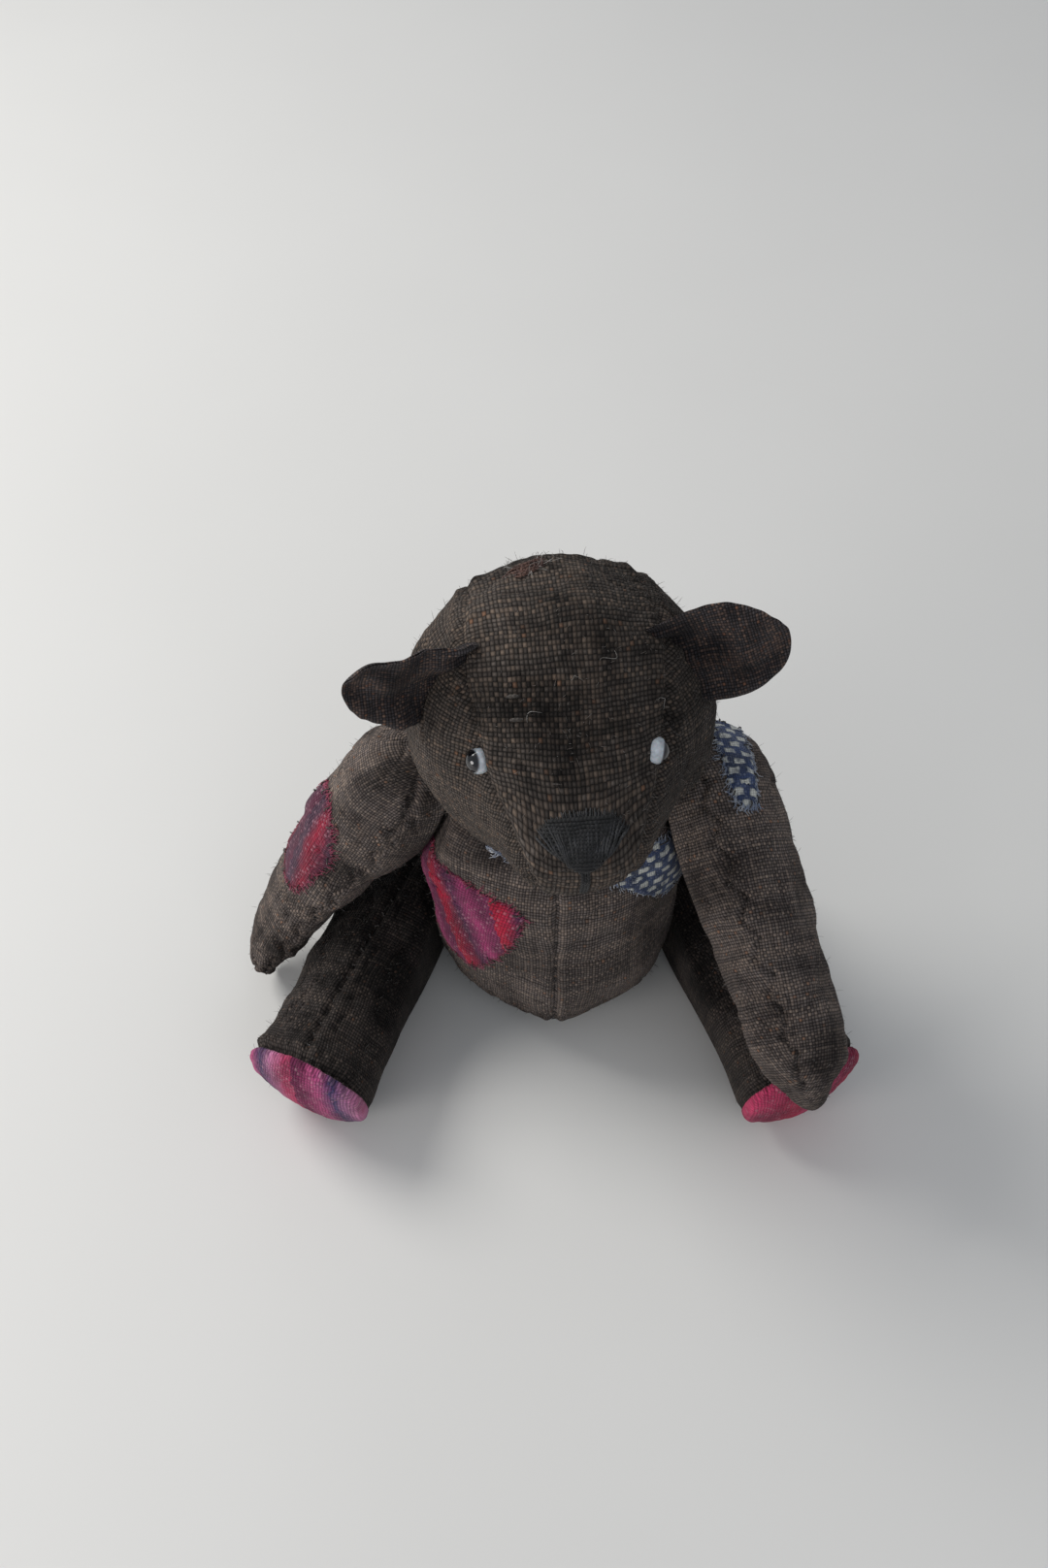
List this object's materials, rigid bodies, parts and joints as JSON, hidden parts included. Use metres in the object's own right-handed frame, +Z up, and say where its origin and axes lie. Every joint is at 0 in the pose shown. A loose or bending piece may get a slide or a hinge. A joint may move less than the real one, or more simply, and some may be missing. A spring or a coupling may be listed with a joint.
{
  "type": "threadbare teddy bear",
  "caption": "Small seated soft bear of coarse dark linen, firmly stuffed, with disc-jointed head, arms and legs and mended cloth patches.",
  "frame": {"origin": "middle of the flat seat under the torso, on the surface it sits on", "axes": "+X to the bear's own left, -Y the way the torso faces, +Z up"},
  "size_m": [0.1255, 0.081, 0.1157],
  "materials": {
    "dark_linen": "coarse plain weave, dyed dark brown, worn to pale threads on the high spots",
    "ear_linen": "finer plain weave, brown-black",
    "stuffing": "wood wool and cotton waste, packed hard",
    "magenta_wool": "fulled wool, magenta to plum with darker bands, frayed edges",
    "indigo_cloth": "loose indigo and cream weave, frayed edges",
    "black_thread": "stranded cotton thread in satin stitch",
    "eye_glass": "polished glass over a white ground with a black pupil",
    "hardboard": "pressed board",
    "steel": "plain wire and sheet"
  },
  "bodies": {
    "torso": {"belly_patch": "magenta_wool", "chest_patch": "indigo_cloth", "hip_left_inner_disc": "hardboard", "hip_left_washer": "steel", "hip_right_inner_disc": "hardboard", "hip_right_washer": "steel", "neck_inner_disc": "hardboard", "neck_washer": "steel", "shoulder_left_inner_disc": "hardboard", "shoulder_left_washer": "steel", "shoulder_right_inner_disc": "hardboard", "shoulder_right_washer": "steel", "torso_back_left": "dark_linen", "torso_back_right": "dark_linen", "torso_front_left": "dark_linen", "torso_front_right": "dark_linen", "torso_stuffing": "stuffing"},
    "head": {"ear_back_left": "ear_linen", "ear_back_right": "ear_linen", "ear_front_left": "ear_linen", "ear_front_right": "ear_linen", "eye_left": "eye_glass", "eye_right": "eye_glass", "eye_wire_left": "steel", "eye_wire_right": "steel", "head_gusset": "dark_linen", "head_side_left": "dark_linen", "head_side_right": "dark_linen", "head_stuffing": "stuffing", "mouth_stitch": "black_thread", "neck_cotter_pin": "steel", "neck_outer_disc": "hardboard", "nose_stitches": "black_thread"},
    "arm_left": {"arm_left_inner": "dark_linen", "arm_left_outer": "dark_linen", "arm_left_stuffing": "stuffing", "shoulder_left_cotter_pin": "steel", "shoulder_left_outer_disc": "hardboard", "shoulder_patch": "indigo_cloth"},
    "arm_right": {"arm_patch": "magenta_wool", "arm_right_inner": "dark_linen", "arm_right_outer": "dark_linen", "arm_right_stuffing": "stuffing", "shoulder_right_cotter_pin": "steel", "shoulder_right_outer_disc": "hardboard"},
    "leg_left": {"hip_left_cotter_pin": "steel", "hip_left_outer_disc": "hardboard", "leg_left_inner": "dark_linen", "leg_left_outer": "dark_linen", "leg_left_stuffing": "stuffing", "sole_left": "magenta_wool"},
    "leg_right": {"hip_right_cotter_pin": "steel", "hip_right_outer_disc": "hardboard", "leg_right_inner": "dark_linen", "leg_right_outer": "dark_linen", "leg_right_stuffing": "stuffing", "sole_right": "magenta_wool"}
  },
  "joints": [
    {"name": "neck_swivel", "type": "hinge", "parent": "torso", "child": "head", "pos_m": [0, 0.002, 0.062], "axis": [0, 0, 1], "continuous": true},
    {"name": "shoulder_left_swing", "type": "hinge", "parent": "torso", "child": "arm_left", "pos_m": [0.0223, 0.0041, 0.0545], "axis": [0.9287, 0, 0.3709], "range_deg": [-28, 3]},
    {"name": "shoulder_right_swing", "type": "hinge", "parent": "torso", "child": "arm_right", "pos_m": [-0.0223, 0.0041, 0.0545], "axis": [0.9287, 0, -0.3709], "range_deg": [-2, 95]},
    {"name": "hip_left_swing", "type": "hinge", "parent": "torso", "child": "leg_left", "pos_m": [0.0202, 0.0075, 0.0136], "axis": [0.9523, 0.3051, 0], "range_deg": [0, 90]},
    {"name": "hip_right_swing", "type": "hinge", "parent": "torso", "child": "leg_right", "pos_m": [-0.0202, 0.0075, 0.0136], "axis": [0.9523, -0.3051, 0], "range_deg": [0, 90]}
  ]
}
